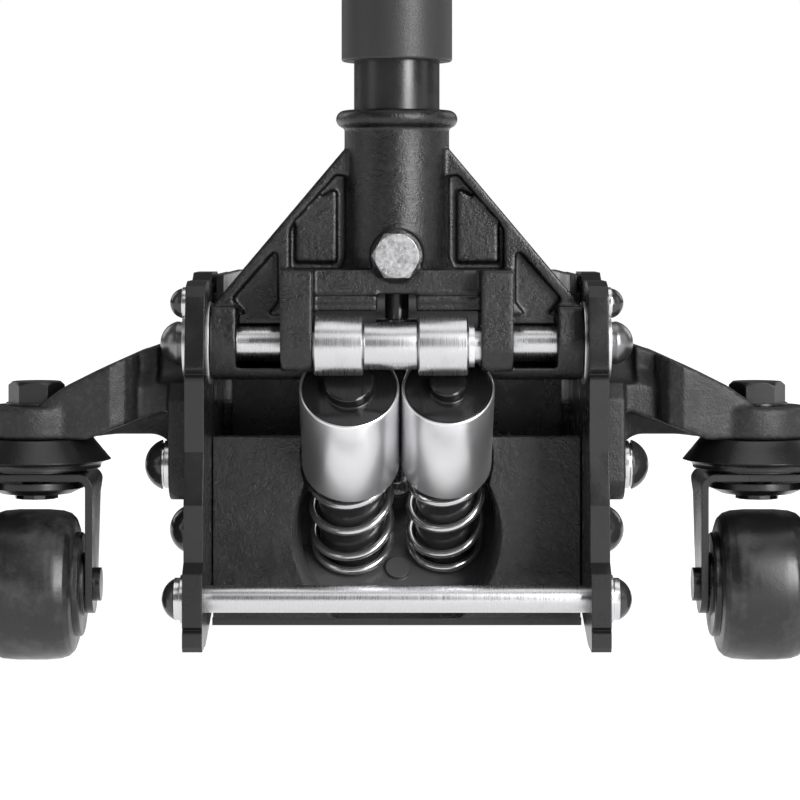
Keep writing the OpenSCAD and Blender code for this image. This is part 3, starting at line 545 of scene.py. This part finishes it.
for node in ("rear_tie_rod", "roller_shaft", "roller_spacer", "left_roller", "right_roller"):
    turned(node, ALONG_X)
turned("caster_arm_bolts", ALONG_X, 0.5 * MM, 96, zone=washer_zone(8.4 * MM, 11.9 * MM))
turned("frame_screws", ALONG_X, 0.5 * MM, 96, zone=washer_zone(-1 * MM, 2.2 * MM))
turned("tie_rod_nuts", ALONG_X, 0.5 * MM, 96, zone=washer_zone(0, 4 * MM))
turned("handle_pivot_bolts", ALONG_X, 0.5 * MM, 96,
       zone=lambda c: DOME_STEEL if abs(c.x) > PLATE_OUT + 2.6 * MM else None)
turned("pivot_washers", ALONG_X, 0.3 * MM, 96)
for side in ("left", "right"):
    turned(side + "_spring_cover", PUMP, 0.3 * MM)
    turned(side + "_plunger", PUMP, 0.9 * MM, base=PLUNGER_STEEL)
    turned(side + "_caster_wheel", ALONG_X, 0.6 * MM, 160, reshape=mould_seam)
    turned(side + "_front_wheel", ALONG_X, 0.8 * MM, 160, reshape=mould_seam)
turned("pump_barrels", PUMP, 0.3 * MM)
turned("bumper_sleeve", UP, 1.2 * MM)
turned("handle_grip", UP, 0.9 * MM)
turned("handle_end_cap", UP, 0.8 * MM)
turned("caster_races", UP, 0.5 * MM)
turned("ram_rod", (0, 1, 0))


def coil(node, name, start, axis, radius, wire, height, turns, phase):
    """A round-wire spring, finer than its CAD solid."""
    axis = Vector(axis).normalized()
    across, along = Vector(ALONG_X), axis.cross(Vector(ALONG_X))
    bm = bmesh.new()
    steps, sides = 44, 14
    rings = []
    for i in range(round(turns * steps) + 1):
        t = i / steps
        a = math.radians(phase) + 2 * math.pi * t
        if t < 1:
            lift = t * wire
        elif t > turns - 1:
            lift = height - wire - (turns - t) * wire
        else:
            lift = wire + (t - 1) * (height - 3 * wire) / (turns - 2)
        out = across * math.cos(a) + along * math.sin(a)
        centre = Vector(start) + axis * (wire / 2 + lift) + out * radius
        end_round = min(1.0, min(i, round(turns * steps) - i) / 3 + 0.45)
        thick = wire / 2 * end_round
        rings.append([bm.verts.new(centre + (out * math.cos(b) + axis * math.sin(b)) * thick)
                      for b in (2 * math.pi * k / sides for k in range(sides))])
    for one, two in zip(rings, rings[1:]):
        for k in range(sides):
            m = (k + 1) % sides
            bm.faces.new((one[k], one[m], two[m], two[k]))
    bm.faces.new(rings[0][::-1])
    bm.faces.new(rings[-1])
    bmesh.ops.recalc_face_normals(bm, faces=bm.faces)
    obj = stand_in(name, made_mesh(name, bm), node)
    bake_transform(obj)
    return obj


# Axes of the sloping pump seat, and the places of the pump springs on them
TILT = math.radians(40)
UP_T = Vector((0, math.sin(TILT), math.cos(TILT)))
UP_N = Vector((0, -math.cos(TILT), math.sin(TILT)))
SEAT_POINT = Vector((0, TAIL + 72 * MM, 14 * MM))
ROLLER = Vector((0, TAIL + 15 * MM, 131 * MM))
PUMP_T = (ROLLER - SEAT_POINT).dot(UP_T) - 8.5 * MM
HEAD_N = (ROLLER - SEAT_POINT).dot(UP_N) - 12.3 * MM
SEAT_N = -12.4 * MM
PUMP_WIRE, PUMP_TURNS, PUMP_PHASE = 3.6 * MM, 7.1, 100
PUMP_HEIGHT = HEAD_N - SEAT_N - 8.4 * MM
for side, x, radius in (("left", -19.5, 16.6), ("right", 21, 15.2)):
    foot = SEAT_POINT + UP_T * PUMP_T + UP_N * (SEAT_N + 0.1 * MM) + Vector((x * MM, 0, 0))
    coil(side + "_pump_spring", side + "_pump_coil", foot, UP_N, radius * MM,
         PUMP_WIRE, PUMP_HEIGHT, PUMP_TURNS, PUMP_PHASE)

# Painted light: the faces inside the round recess in the back of the pump block get a lighter paint, which stands
# in for the light the recess does not catch
BLOCK_BACK, BLOCK_FOOT = TAIL + 60 * MM, 16 * MM
RECESS_RADIUS, RECESS_MIDDLE, RECESS_DEPTH = 44.6 * MM, 49.8 * MM, 69 * MM
block = NODES["power_unit_block"].data
block.materials.append(RECESS_PAINTED_LIGHT)
for face in block.polygons:
    x, y, z = face.center
    round_middle = math.hypot(x, z - RECESS_MIDDLE) < RECESS_RADIUS
    if round_middle and 0.3 * MM < y - BLOCK_BACK < RECESS_DEPTH and z > BLOCK_FOOT:
        face.material_index = 1

# Pull springs beside the ram
near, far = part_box("return_springs")
for side, x in (("left", -50), ("right", 50)):
    coil("return_springs", side + "_return_coil", (x * MM, near[1], 30 * MM), (0, 1, 0),
         6.4 * MM, 2.6 * MM, far[1] - near[1], 14, 0)


# ---------------------------------------------------------------- camera and light

# Square on to the tail, low and far back; the shifts set the frame round the tail end
CAMERA_BACK, CAMERA_HEIGHT = 1.1, 0.178
camera_data = bpy.data.cameras.new("camera")
camera_data.lens = 123.75
camera_data.sensor_width = 36
camera_data.shift_x = 0.004
camera_data.shift_y = -0.2125
camera_data.clip_end = 100
camera = bpy.data.objects.new("camera", camera_data)
camera.location = (0, TAIL - CAMERA_BACK, CAMERA_HEIGHT)
camera.rotation_euler = (math.radians(90), 0, 0)
bpy.context.collection.objects.link(camera)
bpy.context.scene.camera = camera


def softbox(name, where, towards, size, power):
    light = bpy.data.lights.new(name, "AREA")
    light.shape = "RECTANGLE"
    light.size, light.size_y = size
    light.energy = power
    lamp = bpy.data.objects.new(name, light)
    lamp.location = where
    aim = Vector(towards) - Vector(where)
    lamp.rotation_euler = aim.to_track_quat("-Z", "Y").to_euler()
    bpy.context.collection.objects.link(lamp)


softbox("overhead", (0.2, -0.3, 2.4), (0, -0.1, 0.2), (2.0, 1.6), 14)
softbox("front_high", (0.4, -2.3, 2.1), (0, -0.3, 0.12), (2.2, 1.0), 8.5)
softbox("strip_right", (1.1, -2.1, 0.8), (0, -0.3, 0.15), (0.8, 1.7), 70)
softbox("side_left", (-2.0, -1.0, 0.8), (0, -0.3, 0.12), (0.8, 1.4), 4)
softbox("side_right", (2.1, -0.7, 0.9), (0, -0.3, 0.12), (0.8, 1.4), 4)
softbox("back_left", (-2.2, 1.6, 1.4), (0, 0, 0.2), (1.4, 1.6), 12)
softbox("back_right", (2.2, 1.6, 1.4), (0, 0, 0.2), (1.4, 1.6), 14)

# The backdrop is white to the eye, and dimmer as a light than as a background
world = bpy.data.worlds.new("studio")
bpy.context.scene.world = world
world.use_nodes = True
sky = world.node_tree
backdrop = sky.nodes["Background"]
backdrop.inputs["Color"].default_value = (1, 1, 1, 1)
backdrop.inputs["Strength"].default_value = 1.0
glow = sky.nodes.new("ShaderNodeBackground")
glow.inputs["Color"].default_value = (1, 1, 1, 1)
glow.inputs["Strength"].default_value = 0.12
path = sky.nodes.new("ShaderNodeLightPath")
blend = sky.nodes.new("ShaderNodeMixShader")
sky.links.new(path.outputs["Is Camera Ray"], blend.inputs[0])
sky.links.new(glow.outputs[0], blend.inputs[1])
sky.links.new(backdrop.outputs[0], blend.inputs[2])
sky.links.new(blend.outputs[0], sky.nodes["World Output"].inputs["Surface"])
bpy.context.scene.view_settings.view_transform = "Standard"

floor_mesh = bpy.data.meshes.new("floor")
floor_mesh.from_pydata([(-30, -30, 0), (30, -30, 0), (30, 30, 0), (-30, 30, 0)], [], [(0, 1, 2, 3)])
floor = bpy.data.objects.new("floor", floor_mesh)
bpy.context.collection.objects.link(floor)
paper = Finish("floor_paper", (0.3, 0.3, 0.3), 0.9)
paper.vary_rough(paper.spread(paper.noise(3.0), 0.85, 0.95))
paper.put("Emission Color", (1, 1, 1, 1))
paper.put("Emission Strength", 0.97)
dress(floor, paper.mat)
